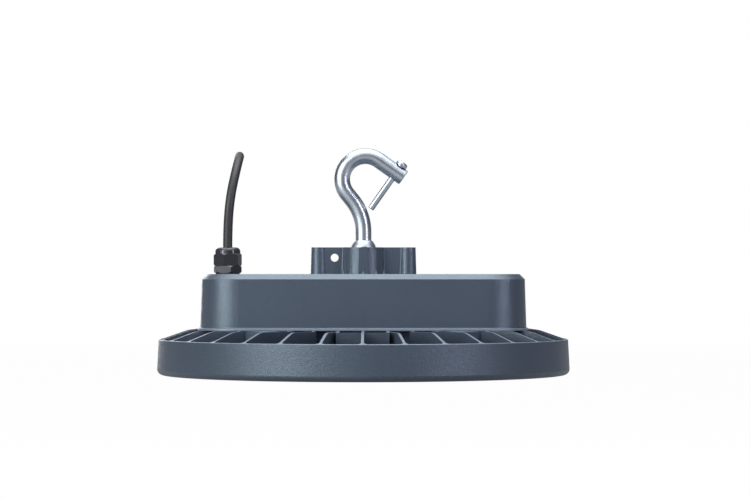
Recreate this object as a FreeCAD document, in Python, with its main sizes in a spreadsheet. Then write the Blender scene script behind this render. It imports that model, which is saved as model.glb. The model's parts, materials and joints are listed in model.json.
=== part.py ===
import FreeCAD, Part
import math
import os
import re

import Sketcher
from FreeCAD import Placement, Rotation, Vector

# A round LED high bay light.  A die-cast heat sink (a low ring with radial fins) stands on its
# rim and holds the LED board and the lens plate from below.  A die-cast driver box stands on
# the fins, and its boss carries the hook.  Millimetres; the origin is the centre of the rim,
# +Z points up to the hook, and -Y is the front.

doc = FreeCAD.newDocument("high_bay_light")
sheet = doc.addObject("Spreadsheet::Sheet", "Sizes")

SIZES = [
    # heat sink
    ("ring_radius", 155.0, "outside of the ring at its foot"),
    ("ring_height", 26.5, "rim to the ring's lip"),
    ("ring_lean", 1.1, "how far the ring's outside leans in by its lip"),
    ("ring_wall", 3.4, "ring's wall, foot radius to inside"),
    ("ring_edge_round", 4.2, "rounding of the ring's lower edge"),
    ("lip_round", 0.9, "rounding of the ring's lip"),
    ("rim_width", 6.0, "rim that the light stands on"),
    ("seat_height", 6.0, "rim to the seat of the lens gasket"),
    ("seat_width", 14.0, "width of that seat"),
    ("deck_floor", 9.5, "rim to the underside of the deck"),
    ("deck_thick", 4.0, "deck that carries the fins"),
    ("fin_count", 32, "radial fins"),
    ("fin_thick", 2.0, "fins, ribs and walls"),
    ("fin_top", 33.8, "rim to the flat tops of the fins"),
    ("fin_root_round", 3.0, "fillet between a fin and the ring"),
    ("shoulder_inset", 24.0, "the fins' tops start to fall to the ring this far inside it"),
    ("shoulder_round", 24.0, "rounding of that shoulder"),
    ("rib_pitch", 18.0, "straight ribs under the driver box"),
    ("rib_inset", 21.0, "ribs stand out to this distance inside the shoulder"),
    ("rib_hold", 2.5, "least run of a fin's flat top outside its rib"),
    ("end_wall_inset", 11.0, "shoulder to the walls that tie the first ribs together, front and back"),
    ("web_inset", 10.0, "shoulder to the four solid webs between the fins"),
    ("web_run", 17.0, "their run towards the middle"),
    ("under_wall_inset", 5.0, "box's foot to the cross walls that stand under it"),
    # driver box
    ("box_length", 242.0, "driver box at its foot"),
    ("box_depth", 124.0, "driver box at its foot, front to back"),
    ("box_corner", 30.0, "corner radius in plan"),
    ("box_height", 41.5, "foot to the flat top"),
    ("box_draft", 1.8, "draft of its walls, degrees"),
    ("box_chamfer", 3.8, "chamfer round the top"),
    ("box_wall", 3.5, "walls"),
    ("box_roof", 3.6, "roof"),
    ("flange_width", 1.6, "bead round the foot"),
    ("flange_height", 1.7, "bead round the foot"),
    ("flange_round", 0.7, "rounding of the bead"),
    ("foot_fillet", 0.8, "fillet between wall and bead"),
    ("foot_wall", 2.2, "wall outside the base plate"),
    ("base_thick", 2.5, "base plate that closes the box"),
    ("base_gap", 0.3, "play round the base plate"),
    ("gasket_thick", 1.0, "flat gasket on the base plate"),
    ("gasket_width", 2.6, "flat gasket on the base plate"),
    ("post_inset_x", 21.0, "box's end to the screw posts"),
    ("post_inset_y", 22.0, "box's front or back to the screw posts"),
    ("post_radius", 6.0, "screw posts"),
    # boss
    ("boss_height", 20.1, "boss above the driver box"),
    ("boss_draft", 1.6, "draft of the boss, degrees"),
    ("hub_radius", 16.0, "hub at its foot"),
    ("hub_rib_width", 7.6, "flat rib down the hub's front and back"),
    ("hub_rib_proud", 0.9, "how far it stands out"),
    ("lug_radius", 6.5, "round lugs at the boss's ends, at the foot"),
    ("lug_x", 33.4, "lugs, sideways from the middle"),
    ("lug_hole_radius", 2.1, "tapped holes in the lugs' tops"),
    ("lug_hole_depth", 12.0, "tapped holes in the lugs' tops"),
    ("web_thick", 7.0, "webs between hub and lugs"),
    ("web_round", 1.4, "fillets at the webs' ends"),
    ("gusset_count", 10, "small cones round the hub's foot"),
    ("gusset_radius", 1.9, "cone at the foot"),
    ("gusset_height", 3.6, "cone"),
    ("safety_hole_radius", 3.0, "hole for a safety cable"),
    ("safety_hole_x", 21.7, "left of the middle"),
    ("safety_hole_rise", 12.3, "above the driver box"),
    ("bore_depth", 19.0, "tapped bore for the hook"),
    # hook
    ("rod_radius", 6.0, "hook rod"),
    ("rod_play", 0.05, "thread and hole clearance"),
    ("shank_rise", 11.4, "straight shank above the boss"),
    ("neck_radius", 39.0, "bend that leans the rod back"),
    ("neck_turn", 39.0, "degrees"),
    ("neck_run", 5.6, "straight run between the two bends"),
    ("loop_radius", 17.5, "centre line of the loop"),
    ("loop_turn", 164.2, "degrees"),
    ("arm_run", 23.0, "straight arm that ends the hook"),
    ("arm_chamfer", 0.6, "cut end"),
    ("latch_inset", 6.9, "safety screw to the end of the arm"),
    ("latch_radius", 2.5, "safety screw"),
    ("latch_reach", 33.4, "screw's tip past the rod's centre line"),
    ("latch_head_radius", 4.6, "pan head"),
    ("latch_head_height", 3.4, "pan head"),
    ("nut_radius", 9.25, "conical nut at the boss"),
    ("nut_height", 5.1, "conical nut"),
    ("nut_top_radius", 6.5, "conical nut"),
    # cable gland
    ("gland_inset", 18.7, "box's left end to the gland"),
    ("gland_flats", 19.0, "across the flats of both hexagons"),
    ("gland_ease", 1.1, "chamfer round the hexagons' corners"),
    ("gland_body_height", 6.2, "lower hexagon"),
    ("gland_body_turn", 15.5, "degrees"),
    ("gland_cap_height", 9.2, "upper hexagon"),
    ("gland_cap_turn", -11.6, "degrees"),
    ("gland_dome_height", 4.7, "domed end of the cap"),
    ("gland_dome_radius", 9.55, "domed end of the cap"),
    ("gland_dome_round", 3.2, "its rounding"),
    ("gland_thread_radius", 8.0, "thread through the roof"),
    ("gland_thread_length", 9.0, "thread under the roof's top"),
    ("gland_nut_height", 4.6, "lock nut inside the roof"),
    ("gland_nut_flats", 19.5, "lock nut inside the roof"),
    ("gland_washer_thick", 0.8, "sealing washer on the roof"),
    ("seal_radius", 5.6, "rubber seal inside the gland"),
    ("cable_radius", 3.5, "supply cable"),
    ("core_radius", 1.2, "one insulated core"),
    ("core_run", 34.0, "bared cores at the cable's free end"),
    ("core_splay", 7.0, "how far the outer cores spread"),
    ("ferrule_radius", 0.7, "end sleeve of a core"),
    ("ferrule_run", 8.0, "end sleeve of a core"),
    # driver and wiring
    ("driver_length", 160.0, "potted LED driver"),
    ("driver_width", 62.0, "potted LED driver"),
    ("driver_height", 26.0, "potted LED driver"),
    ("driver_round", 2.0, "its edges"),
    ("driver_shift", 6.0, "right of the middle"),
    ("ear_run", 9.0, "ear at each end"),
    ("ear_width", 16.0, "ear at each end"),
    ("ear_thick", 1.6, "ear at each end"),
    ("block_gap", 3.0, "terminal block to the box's end wall"),
    ("block_length", 16.0, "terminal block"),
    ("block_width", 32.0, "terminal block"),
    ("block_height", 12.0, "terminal block"),
    ("tail_run", 14.0, "sheath below the roof"),
    ("core_pitch", 9.0, "poles of the terminal block"),
    ("lead_radius", 1.1, "inner leads"),
    ("lead_rise", 7.0, "leads above the base plate"),
    ("lead_bend", 6.0, "bend of the LED leads"),
    ("duct_x", 63.0, "wire duct through the heat sink, right of the middle"),
    ("duct_gap", 14.5, "driver's back to the duct"),
    ("duct_radius", 4.5, "wire duct"),
    ("duct_wall", 2.5, "wire duct"),
    ("grommet_lip", 1.2, "rubber grommet in the base plate"),
    # screws
    ("long_screw_radius", 1.95, "M4 screws that hold the box"),
    ("long_screw_grip", 11.0, "their hold in the box's posts"),
    ("long_head_radius", 3.9, "their heads"),
    ("long_head_height", 3.0, "their heads"),
    ("small_screw_radius", 1.45, "M3 screws"),
    ("small_head_radius", 2.75, "M3 pan heads"),
    ("small_head_height", 1.8, "M3 pan heads"),
    ("screw_play", 0.25, "clearance holes"),
    ("thread_play", 0.05, "tapped holes"),
    # light engine
    ("pad_thick", 0.3, "thermal pad"),
    ("board_gap", 6.0, "LED board to the seat round it"),
    ("board_thick", 1.6, "LED board"),
    ("board_screw_inset", 9.0, "board's edge to its screws"),
    ("board_screw_count", 8, "board's screws"),
    ("board_screw_run", 3.0, "their hold in the deck"),
    ("board_screw_turn", 11.25, "angle of the first, between two LEDs"),
    ("led_side", 5.0, "LED package"),
    ("led_height", 0.7, "LED package"),
    ("lens_play", 0.4, "play round the lens plate"),
    ("lens_thick", 2.5, "lens plate"),
    ("lens_seal_thick", 0.5, "gasket of the lens plate"),
    ("lens_seal_width", 5.0, "gasket of the lens plate"),
    ("lens_radius", 10.0, "one lens"),
    ("lens_drop", 2.2, "one lens below the plate"),
    ("lens_screw_inset", 11.0, "ring's outside to the lens plate's screws"),
    ("lens_screw_count", 12, "lens plate's screws"),
    ("lens_screw_run", 5.0, "their hold in the heat sink"),
    ("led_circle", 36.0, "innermost circle of LEDs"),
    ("led_inset", 20.0, "board's screws to the outermost circle of LEDs"),
]
LED_RINGS = (8, 14, 20)         # LEDs on each circle, inside to outside

ALIASES = {alias for alias, _, _ in SIZES}
for row, (alias, amount, note) in enumerate(SIZES, 1):
    sheet.set(f"A{row}", f"{amount:g}")
    sheet.setAlias(f"A{row}", alias)
    sheet.set(f"B{row}", note)
doc.recompute()


# ---------------------------------------------------------------- sizes and expressions

def tied(text):
    """The expression with each size's name pointing at its cell."""
    return re.sub(r"[a-z_]+", lambda word: f"Sizes.{word[0]}" if word[0] in ALIASES else word[0], text)


def amount(text):
    """What an expression comes to now."""
    return float(sheet.evalExpression(tied(text)))


def bind(thing, **sizes):
    """Ties properties of an object to expressions."""
    for name, text in sizes.items():
        thing.setExpression(name.replace("__", "."), tied(text))


RING_INNER = "(ring_radius - ring_wall)"
RECESS = "(ring_radius - rim_width)"
CAVITY = f"({RECESS} - seat_width)"
DECK_TOP = "(deck_floor + deck_thick)"
BOX_TOP = "(fin_top + box_height)"
BOX_CEILING = f"({BOX_TOP} - box_roof)"
BASE_TOP = "(fin_top + base_thick)"
BOSS_TOP = f"({BOX_TOP} + boss_height)"
FIN_STEP = "(360 / fin_count)"
FIN_INNER = f"(rib_pitch / sin{FIN_STEP} - fin_thick)"
BOARD_TOP = "(deck_floor - pad_thick)"
BOARD_LOW = f"({BOARD_TOP} - board_thick)"
LENS_TOP = "(seat_height - lens_seal_thick)"
LENS_LOW = f"({LENS_TOP} - lens_thick)"
SHOULDER = "(ring_radius - shoulder_inset)"
END_WALL = f"({SHOULDER} - end_wall_inset)"
WEB_OUTER = f"({SHOULDER} - web_inset)"
WEB_INNER = f"({WEB_OUTER} - web_run)"
RIB_REACH = f"({SHOULDER} - rib_inset)"
POST_X = "(box_length / 2 - post_inset_x)"
POST_Y = "(box_depth / 2 - post_inset_y)"
GLAND_X = "(gland_inset - box_length / 2)"
BLOCK_X = "(box_wall + block_gap + block_length / 2 - box_length / 2)"
DUCT_Y = "(driver_width / 2 + duct_gap)"
BOARD_RADIUS = f"({CAVITY} - board_gap)"
BOARD_SCREWS = f"({BOARD_RADIUS} - board_screw_inset)"
LENS_SCREWS = "(ring_radius - lens_screw_inset)"
LED_PITCH = f"(({BOARD_SCREWS} - led_inset - led_circle) / {len(LED_RINGS) - 1})"


# ---------------------------------------------------------------- sketches and features

def origin_plane(body, role):
    """One of the body's own origin planes."""
    return next(item for item in body.Origin.OriginFeatures if item.Role == role)


def circle(x, y, radius):
    """A loop for draw(): a full circle."""
    return ("circle", x, y, radius)


def rectangle(x_low, x_high, y_low, y_high):
    """A loop for draw(): four corners, anticlockwise."""
    return [(x_low, y_low), (x_high, y_low), (x_high, y_high), (x_low, y_high)]


def rounded(half_x, half_y, radius):
    """A loop for draw(): a rectangle about the origin with round corners."""
    flat_x, flat_y = f"({half_x} - {radius})", f"({half_y} - {radius})"
    return [
        (f"-{flat_x}", f"-({half_y})"),
        (flat_x, f"-({half_y})", radius),
        (half_x, f"-{flat_y}"),
        (half_x, flat_y, radius),
        (flat_x, half_y),
        (f"-{flat_x}", half_y, radius),
        (f"-({half_x})", flat_y),
        (f"-({half_x})", f"-{flat_y}", radius),
    ]


def ring_of(count, radius, hole, turn=0):
    """Loops for draw(): equal circles on a circle about the origin."""
    steps = [f"({turn} + {index} * 360 / {count})" for index in range(count)]
    return [circle(f"{radius} * cos{step}", f"{radius} * sin{step}", hole) for step in steps]


def corners_of_four(x, y, hole):
    """Loops for draw(): four equal circles on a rectangle's corners."""
    return [circle(f"{sx} * {x}", f"{sy} * {y}", hole) for sx in (-1, 1) for sy in (-1, 1)]


def hold(sketch, kind, *spots, size):
    """Adds a dimension to a sketch and ties it to an expression."""
    index = sketch.addConstraint(Sketcher.Constraint(kind, *spots, amount(size)))
    sketch.setExpression(f"Constraints[{index}]", tied(size))


def arc_between(start, end, radius):
    """An arc from start to end; a negative radius bends to the right."""
    chord = end - start
    side = Vector(-chord.y, chord.x, 0).normalize() * math.copysign(1, radius)
    rise = math.sqrt(max(radius ** 2 - (chord.Length / 2) ** 2, 0))
    centre = start + chord / 2 + side * rise
    round_it = Part.Circle(centre, Vector(0, 0, 1), abs(radius))
    first, last = (start, end) if radius > 0 else (end, start)
    angle_a, angle_b = (math.atan2(spot.y - centre.y, spot.x - centre.x) for spot in (first, last))
    if angle_b < angle_a:
        angle_b += 2 * math.pi
    return Part.ArcOfCircle(round_it, angle_a, angle_b)


def add_loop(sketch, corners):
    """A closed outline; a corner with a third value starts an arc of that radius."""
    spots = [Vector(amount(corner[0]), amount(corner[1]), 0) for corner in corners]
    ends = []
    for index, corner in enumerate(corners):
        start, end = spots[index], spots[(index + 1) % len(spots)]
        if len(corner) == 3:
            bend = amount(corner[2])
            edge = sketch.addGeometry(arc_between(start, end, bend), False)
            ends.append((edge, 1, 2) if bend > 0 else (edge, 2, 1))
        else:
            edge = sketch.addGeometry(Part.LineSegment(start, end), False)
            ends.append((edge, 1, 2))
    for index, (edge, first, _) in enumerate(ends):
        before, _, last = ends[index - 1]
        sketch.addConstraint(Sketcher.Constraint("Coincident", before, last, edge, first))
        hold(sketch, "DistanceX", -1, 1, edge, first, size=corners[index][0])
        hold(sketch, "DistanceY", -1, 1, edge, first, size=corners[index][1])
        if len(corners[index]) == 3:
            hold(sketch, "Radius", edge, size=f"abs({corners[index][2]})")


def add_circle(sketch, x, y, radius):
    """A full circle held by its centre and radius."""
    middle = Vector(amount(x), amount(y), 0)
    edge = sketch.addGeometry(Part.Circle(middle, Vector(0, 0, 1), amount(radius)), False)
    hold(sketch, "DistanceX", -1, 1, edge, 3, size=x)
    hold(sketch, "DistanceY", -1, 1, edge, 3, size=y)
    hold(sketch, "Radius", edge, size=radius)


def draw(body, name, loops, plane="XY_Plane", level="0"):
    """A sketch on an origin plane, moved along the plane's normal to a level."""
    sketch = body.newObject("Sketcher::SketchObject", name)
    sketch.AttachmentSupport = [(origin_plane(body, plane), "")]
    sketch.MapMode = "FlatFace"
    sketch.setExpression(".AttachmentOffset.Base.z", tied(level))
    for loop in loops:
        if loop[0] == "circle":
            add_circle(sketch, *loop[1:])
        else:
            add_loop(sketch, loop)
    doc.recompute()
    return sketch


def pad(body, name, loops, height, level="0", draft=None):
    """Grows loops upwards from a level; a draft leans the walls in."""
    feature = body.newObject("PartDesign::Pad", name)
    feature.Profile = draw(body, f"{name}_sketch", loops, level=level)
    bind(feature, Length=height)
    if draft:
        bind(feature, TaperAngle=f"-({draft})")
    doc.recompute()
    return feature


def pocket(body, name, loops, depth=None, level="0", up=True, draft=None, plane="XY_Plane"):
    """Cuts loops upwards or downwards from a level, or right through with no depth."""
    feature = body.newObject("PartDesign::Pocket", name)
    feature.Profile = draw(body, f"{name}_sketch", loops, plane=plane, level=level)
    if depth:
        feature.Reversed = up
        bind(feature, Length=depth)
    else:
        feature.Type = "ThroughAll"
        feature.Midplane = True
    if draft:
        bind(feature, TaperAngle=f"-({draft})")
    before = body.Shape.Volume
    doc.recompute()
    if not feature.Shape.Volume < before:
        raise RuntimeError(f"{name} cuts nothing")
    return feature


def turned(body, name, loop, kind="PartDesign::Revolution"):
    """A loop in the XZ plane turned about the Z axis, as a solid or as a groove."""
    feature = body.newObject(kind, name)
    sketch = draw(body, f"{name}_sketch", [loop], plane="XZ_Plane")
    feature.Profile = sketch
    feature.ReferenceAxis = (sketch, ["V_Axis"])
    feature.Angle = 360
    doc.recompute()
    return feature


def polar(body, name, feature, count):
    """Repeats a feature evenly about the Z axis."""
    pattern = body.newObject("PartDesign::PolarPattern", name)
    pattern.Originals = [feature]
    pattern.Axis = (origin_plane(body, "Z_Axis"), [""])
    pattern.Angle = 360
    bind(pattern, Occurrences=count)
    body.Tip = pattern
    doc.recompute()
    return pattern


def dress(body, name, kind, size, choose):
    """A fillet or chamfer on the edges of the body's tip that choose() picks."""
    base = body.Tip
    picked = [f"Edge{i}" for i, edge in enumerate(base.Shape.Edges, 1) if choose(edge)]
    if not picked:
        raise RuntimeError(f"{name} finds no edge")
    feature = body.newObject(f"PartDesign::{kind}", name)
    feature.Base = (base, picked)
    bind(feature, **{"Radius" if kind == "Fillet" else "Size": size})
    doc.recompute()
    return feature


def at_level(edge, text):
    """Whether an edge lies flat at a height."""
    box = edge.BoundBox
    return abs(box.ZMin - amount(text)) < 0.01 and abs(box.ZMax - amount(text)) < 0.01


# ---------------------------------------------------------------- nodes

NODES = []


def new_body(name):
    """A PartDesign body that becomes one node."""
    body = doc.addObject("PartDesign::Body", f"{name}_body")
    body.Label = name
    NODES.append(body)
    return body


def node(name, thing):
    """Marks a finished object as a node."""
    thing.Label = name
    NODES.append(thing)
    return thing


def shaped(name, shape):
    """A node whose shape comes from Part's own functions."""
    thing = doc.addObject("Part::Feature", f"{name}_shape")
    thing.Shape = shape
    return node(name, thing)


def primitive(kind, name, x="0", y="0", z="0", **sizes):
    """A Part primitive with its sizes and its place tied to the sheet."""
    thing = doc.addObject(f"Part::{kind}", name)
    bind(thing, Placement__Base__x=x, Placement__Base__y=y, Placement__Base__z=z, **sizes)
    return thing


def disc(name, radius, height, z, x="0", y="0"):
    """A cylinder that stands on a level."""
    return primitive("Cylinder", name, x, y, z, Radius=radius, Height=height)


def block(name, length, width, height, z, x="0", y="0"):
    """A box with its footprint's middle at x, y."""
    return primitive("Box", name, f"{x} - ({length}) / 2", f"{y} - ({width}) / 2", z,
                     Length=length, Width=width, Height=height)


def group(name, *things):
    """One object fused from several that touch."""
    thing = doc.addObject("Part::MultiFuse", name)
    thing.Shapes = list(things)
    thing.Refine = True
    return thing


def cut(name, base, *tools):
    """Base without the tools."""
    thing = doc.addObject("Part::Cut", name)
    thing.Base = base
    thing.Tool = tools[0] if len(tools) == 1 else group(f"{name}_tools", *tools)
    return thing


def compound(name, things):
    """Separate solids kept together as one node."""
    thing = doc.addObject("Part::Compound", name)
    thing.Links = list(things)
    return thing


def hexagon(name, flats, height, z, x="0", turn="0"):
    """A hexagon with eased corners that stands on a level; its front corner is turned from -Y."""
    across = f"({flats}) / 2 / cos(30)"
    prism = doc.addObject("Part::Prism", name)
    prism.Polygon = 6
    bind(prism, Circumradius=across, Height=height,
         Placement__Base__x=x, Placement__Base__z=z, Placement__Rotation__Angle=f"{turn} - 90")
    prism.Placement = Placement(prism.Placement.Base, Rotation(Vector(0, 0, 1), amount(f"{turn} - 90")))
    blank = disc(f"{name}_blank", across, height, z, x)
    doc.recompute()
    turned_blank = doc.addObject("Part::Chamfer", f"{name}_turned")
    turned_blank.Base = blank
    ease = amount("gland_ease")
    turned_blank.Edges = [(i, ease, ease) for i, edge in enumerate(blank.Shape.Edges, 1)
                          if edge.BoundBox.ZLength < 0.01]
    eased = doc.addObject("Part::MultiCommon", f"{name}_eased")
    eased.Shapes = [prism, turned_blank]
    return eased


# ---------------------------------------------------------------- heat sink

def rib_loops():
    """The straight ribs: each runs out to the first radial fin that it meets within the shoulder."""
    reach = f"{FIN_INNER} + fin_thick"
    loops = [rectangle("-fin_thick / 2", "fin_thick / 2", f"-({reach})", reach)]
    for step in range(1, int(amount(f"{RIB_REACH} / rib_pitch")) + 1):
        x = f"{step} * rib_pitch"
        limit = amount(f"{SHOULDER} - rib_hold")
        fin = next(k for k in range(1, 99) if amount(f"{x} / sin({k} * {FIN_STEP})") <= limit)
        reach = f"{x} / tan({fin} * {FIN_STEP})" if step > 1 else END_WALL
        for side in (-1, 1):
            middle = f"{side} * {x}"
            loops.append(rectangle(f"{middle} - fin_thick / 2", f"{middle} + fin_thick / 2",
                                   f"-({reach})", reach))
    return loops


def web_loops():
    """Four solid webs between the third and fourth fins from the front and the back."""
    loops = []
    for side_x in (-1, 1):
        for side_y in (-1, 1):
            corners = [(WEB_INNER, 3), (WEB_OUTER, 3), (WEB_OUTER, 4), (WEB_INNER, 4)]
            if side_x * side_y > 0:
                corners.reverse()
            loops.append([(f"{side_x} * {radius} * sin({fin} * {FIN_STEP})",
                           f"{side_y} * {radius} * cos({fin} * {FIN_STEP})") for radius, fin in corners])
    return loops


def make_heat_sink():
    body = new_body("heat_sink")
    lip = "(ring_radius - ring_lean)"
    turned(body, "ring_and_deck", [
        (RECESS, "0"),
        ("ring_radius - ring_edge_round", "0", "ring_edge_round"),
        ("ring_radius", "ring_edge_round"),
        (lip, "ring_height - lip_round", "lip_round"),
        (f"{lip} - lip_round", "ring_height"),
        (f"{RING_INNER} + lip_round", "ring_height", "lip_round"),
        (RING_INNER, "ring_height - lip_round"),
        (RING_INNER, DECK_TOP),
        ("0", DECK_TOP),
        ("0", "deck_floor"),
        (CAVITY, "deck_floor"),
        (CAVITY, "seat_height"),
        (RECESS, "seat_height"),
    ])
    foot = "(deck_floor + deck_thick / 2)"
    rise = f"fin_top + fin_thick - {foot}"
    half, root = "fin_thick / 2", "fin_root_round"
    fin = pad(body, "fin", [[
        (FIN_INNER, f"-{half}"),
        (f"{RING_INNER} - {root}", f"-{half}", f"-{root}"),
        (RING_INNER, f"-({half} + {root})"),
        (f"{RING_INNER} + lip_round", f"-({half} + {root})"),
        (f"{RING_INNER} + lip_round", f"{half} + {root}"),
        (RING_INNER, f"{half} + {root}", f"-{root}"),
        (f"{RING_INNER} - {root}", half),
        (FIN_INNER, half),
    ]], rise, level=foot)
    polar(body, "fins", fin, "fin_count")
    pad(body, "ribs", rib_loops(), rise, level=foot)
    wall = "rib_pitch + fin_thick / 2"
    pad(body, "end_walls", [
        rectangle(f"-({wall})", wall, f"{END_WALL} - fin_thick", END_WALL),
        rectangle(f"-({wall})", wall, f"-{END_WALL}", f"fin_thick - {END_WALL}"),
    ], rise, level=foot)
    far = "(box_depth / 2 - under_wall_inset)"
    pad(body, "under_walls", [
        rectangle(f"-{RIB_REACH}", RIB_REACH, f"{far} - fin_thick", far),
        rectangle(f"-{RIB_REACH}", RIB_REACH, f"-{far}", f"fin_thick - {far}"),
    ], rise, level=foot)
    pad(body, "webs", web_loops(), rise, level=foot)
    pad(body, "posts", corners_of_four(POST_X, POST_Y, "post_radius"), rise, level=foot)
    pad(body, "duct", [circle("duct_x", DUCT_Y, "duct_radius + duct_wall")], rise, level=foot)
    fall = f"atan((fin_top - ring_height) / ({RING_INNER} - {SHOULDER}))"
    tangent = f"(shoulder_round * tan({fall} / 2))"
    turned(body, "fin_tops", [
        ("0", "fin_top"),
        (f"{SHOULDER} - {tangent}", "fin_top", "-shoulder_round"),
        (f"{SHOULDER} + {tangent} * cos({fall})", f"fin_top - {tangent} * sin({fall})"),
        (RING_INNER, "ring_height"),
        (f"{RING_INNER} + 2 * lip_round", "ring_height"),
        (f"{RING_INNER} + 2 * lip_round", "fin_top + 2 * fin_thick"),
        ("0", "fin_top + 2 * fin_thick"),
    ], kind="PartDesign::Groove")
    pocket(body, "duct_hole", [circle("duct_x", DUCT_Y, "duct_radius")])
    hole = "long_screw_radius + screw_play"
    pocket(body, "post_holes", corners_of_four(POST_X, POST_Y, hole))
    pocket(body, "post_counterbores",
           corners_of_four(POST_X, POST_Y, "long_head_radius + screw_play"),
           "long_head_height + screw_play", level="deck_floor")
    tapped = "small_screw_radius + thread_play"
    pocket(body, "lens_screw_holes", ring_of(int(amount("lens_screw_count")), LENS_SCREWS, tapped),
           "lens_screw_run + 1", level="seat_height")
    pocket(body, "board_screw_holes",
           ring_of(int(amount("board_screw_count")), BOARD_SCREWS, tapped, turn="board_screw_turn"),
           "board_screw_run + 0.4", level="deck_floor")


# ---------------------------------------------------------------- driver box

def make_driver_box():
    body = new_body("driver_box")
    half_x, half_y = "box_length / 2", "box_depth / 2"
    pad(body, "walls", [rounded(half_x, half_y, "box_corner")],
        "box_height", level="fin_top", draft="box_draft")
    dress(body, "top_chamfer", "Chamfer", "box_chamfer", lambda edge: at_level(edge, BOX_TOP))
    wide_x, wide_y = f"{half_x} + flange_width", f"{half_y} + flange_width"
    pad(body, "bead", [rounded(wide_x, wide_y, "(box_corner + flange_width)")],
        "flange_height", level="fin_top")
    bead_top = "fin_top + flange_height"

    dress(body, "bead_fillet", "Fillet", "foot_fillet",
          lambda edge: at_level(edge, bead_top) and not on_bead_rim(edge, wide_x, wide_y))
    dress(body, "bead_round", "Fillet", "flange_round",
          lambda edge: at_level(edge, bead_top) and on_bead_rim(edge, wide_x, wide_y))
    inner_x, inner_y = f"({half_x} - box_wall)", f"({half_y} - box_wall)"
    pocket(body, "inside", [rounded(inner_x, inner_y, "(box_corner - box_wall)")],
           "box_height - box_roof", level="fin_top", draft="box_draft")
    seat_x, seat_y = f"({half_x} - foot_wall)", f"({half_y} - foot_wall)"
    pocket(body, "plate_recess", [rounded(seat_x, seat_y, "(box_corner - foot_wall)")],
           "base_thick + gasket_thick", level="fin_top")
    pad(body, "box_posts", corners_of_four(POST_X, POST_Y, "post_radius"),
        f"{BOX_CEILING} + box_roof / 2 - {BASE_TOP}", level=BASE_TOP)
    make_boss(body)
    pocket(body, "box_post_holes", corners_of_four(POST_X, POST_Y, "long_screw_radius + thread_play"),
           "long_screw_grip + 2", level=BASE_TOP)
    pocket(body, "gland_hole", [circle(GLAND_X, "0", "gland_thread_radius + screw_play")],
           "2 * box_roof", level=f"{BOX_TOP} - 1.5 * box_roof")


def on_bead_rim(edge, wide_x, wide_y):
    """Whether a flat edge of the bead's top is the outer one."""
    spot = edge.valueAt((edge.FirstParameter + edge.LastParameter) / 2)
    corner = amount("box_corner + flange_width")
    over_x = abs(spot.x) - (amount(wide_x) - corner)
    over_y = abs(spot.y) - (amount(wide_y) - corner)
    if over_x > 0 and over_y > 0:
        return abs(math.hypot(over_x, over_y) - corner) < 0.05
    return abs(abs(spot.x) - amount(wide_x)) < 0.05 or abs(abs(spot.y) - amount(wide_y)) < 0.05


def make_boss(body):
    """The boss on the roof: a hub for the hook, a lug at each end and webs between them."""
    pad(body, "hub", [circle("0", "0", "hub_radius")], "boss_height", level=BOX_TOP, draft="boss_draft")
    pad(body, "lugs", [circle("lug_x", "0", "lug_radius"), circle("-lug_x", "0", "lug_radius")],
        "boss_height", level=BOX_TOP, draft="boss_draft")
    pad(body, "webs_of_boss", [rectangle("-lug_x", "lug_x", "-web_thick / 2", "web_thick / 2")],
        "boss_height", level=BOX_TOP)
    hub_near = amount("hub_radius") + 0.6
    lug_far = amount("lug_x - lug_radius") - 0.6

    def inner_corner(edge):
        tall = edge.BoundBox.ZLength > 0.9 * amount("boss_height")
        on_web = abs(abs(edge.CenterOfMass.y) - amount("web_thick / 2")) < 0.3
        place = abs(edge.CenterOfMass.x)
        return tall and on_web and (place < hub_near or place > lug_far)

    dress(body, "web_fillets", "Fillet", "web_round", inner_corner)
    proud = "(hub_radius + hub_rib_proud)"
    pad(body, "hub_rib", [rectangle("-hub_rib_width / 2", "hub_rib_width / 2", f"-{proud}", proud)],
        "boss_height", level=BOX_TOP, draft="boss_draft")
    cone = body.newObject("PartDesign::AdditiveCone", "gusset")
    cone.AttachmentSupport = [(origin_plane(body, "XY_Plane"), "")]
    cone.MapMode = "FlatFace"
    bind(cone, Radius1="gusset_radius", Height="gusset_height")
    cone.Radius2 = 0
    cone.setExpression(".AttachmentOffset.Base.y", tied("hub_radius"))
    cone.setExpression(".AttachmentOffset.Base.z", tied(BOX_TOP))
    doc.recompute()
    polar(body, "gussets", cone, "gusset_count")
    pocket(body, "hook_bore", [circle("0", "0", "rod_radius + rod_play")],
           "bore_depth", level=BOSS_TOP, up=False)
    pocket(body, "lug_holes",
           [circle("lug_x", "0", "lug_hole_radius"), circle("-lug_x", "0", "lug_hole_radius")],
           "lug_hole_depth", level=BOSS_TOP, up=False)
    pocket(body, "safety_hole",
           [circle("-safety_hole_x", f"{BOX_TOP} + safety_hole_rise", "safety_hole_radius")],
           plane="XZ_Plane")


def make_base_plate():
    """The plate that closes the driver box, in a recess of its foot."""
    body = new_body("base_plate")
    inset = "(foot_wall + base_gap)"
    pad(body, "plate",
        [rounded(f"box_length / 2 - {inset}", f"box_depth / 2 - {inset}", f"(box_corner - {inset})")],
        "base_thick", level="fin_top")
    pocket(body, "plate_screw_holes", corners_of_four(POST_X, POST_Y, "long_screw_radius + screw_play"))
    pocket(body, "grommet_hole", [circle("duct_x", DUCT_Y, "duct_radius")])
    ears = "(driver_length / 2 + ear_run / 2)"
    pocket(body, "ear_holes", [
        circle(f"driver_shift + {ears}", "0", "small_screw_radius + thread_play"),
        circle(f"driver_shift - {ears}", "0", "small_screw_radius + thread_play"),
    ])


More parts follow.
